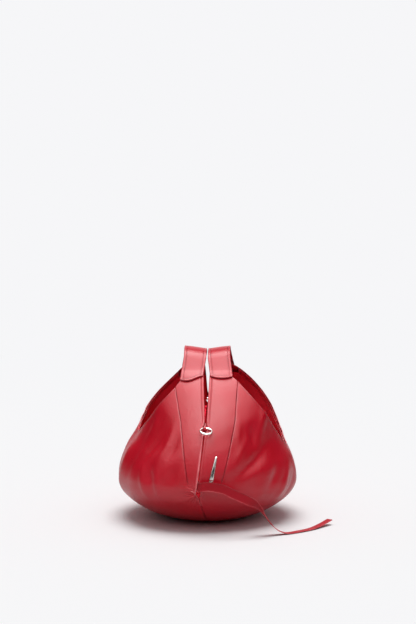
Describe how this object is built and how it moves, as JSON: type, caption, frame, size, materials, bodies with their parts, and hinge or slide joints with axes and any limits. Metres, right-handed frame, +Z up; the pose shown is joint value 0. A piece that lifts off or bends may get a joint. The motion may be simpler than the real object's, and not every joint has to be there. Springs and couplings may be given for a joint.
{
  "type": "crossbody bag",
  "caption": "Soft red leather bag with two short flat handles, open side mouths, a hidden front zip with a long leather pull, and a clip ring at each end.",
  "frame": {"origin": "on the floor under the middle of the bag", "axes": "+Z up; -Y towards the front end with the slit and the leather pull; +X to the right seen from the front end"},
  "size_m": [0.2805, 0.241, 0.2235],
  "materials": {
    "leather": "smooth satin red leather",
    "lining": "matt dark red lining",
    "zip_tape": "matt woven tape",
    "metal": "polished nickel plate"
  },
  "bodies": {
    "bag": {"left_panel": "leather", "right_panel": "leather", "front_left_strip": "leather", "front_right_strip": "leather", "rear_left_strip": "leather", "rear_right_strip": "leather", "left_handle": "leather", "right_handle": "leather", "left_rim_facing": "leather", "right_rim_facing": "leather", "left_lining": "lining", "right_lining": "lining", "zip_left_tape": "zip_tape", "zip_right_tape": "zip_tape", "zip_left_teeth": "metal", "zip_right_teeth": "metal", "zip_left_top_stop": "metal", "zip_right_top_stop": "metal", "zip_bottom_stop": "metal", "front_ring_loop": "leather", "rear_ring_loop": "leather", "trim_bar": "metal"},
    "slider": {"zip_slider": "metal", "zip_pull": "leather"},
    "front_ring": {"front_ring": "metal"},
    "rear_ring": {"rear_ring": "metal"}
  },
  "joints": [
    {"name": "zip_run", "type": "hinge", "parent": "bag", "child": "slider", "pos_m": [-0.0095, 0.048, 0.06], "axis": [-0.9931, 0, 0.1171], "range_deg": [0, 18]},
    {"name": "front_ring_swing", "type": "hinge", "parent": "bag", "child": "front_ring", "pos_m": [-0.00087, -0.09626, 0.13414], "axis": [0.9659, 0.2588, 0], "range_deg": [-75, 30]},
    {"name": "rear_ring_swing", "type": "hinge", "parent": "bag", "child": "rear_ring", "pos_m": [0, 0.09626, 0.13414], "axis": [-0.9659, -0.2588, 0], "range_deg": [-75, 30]}
  ]
}
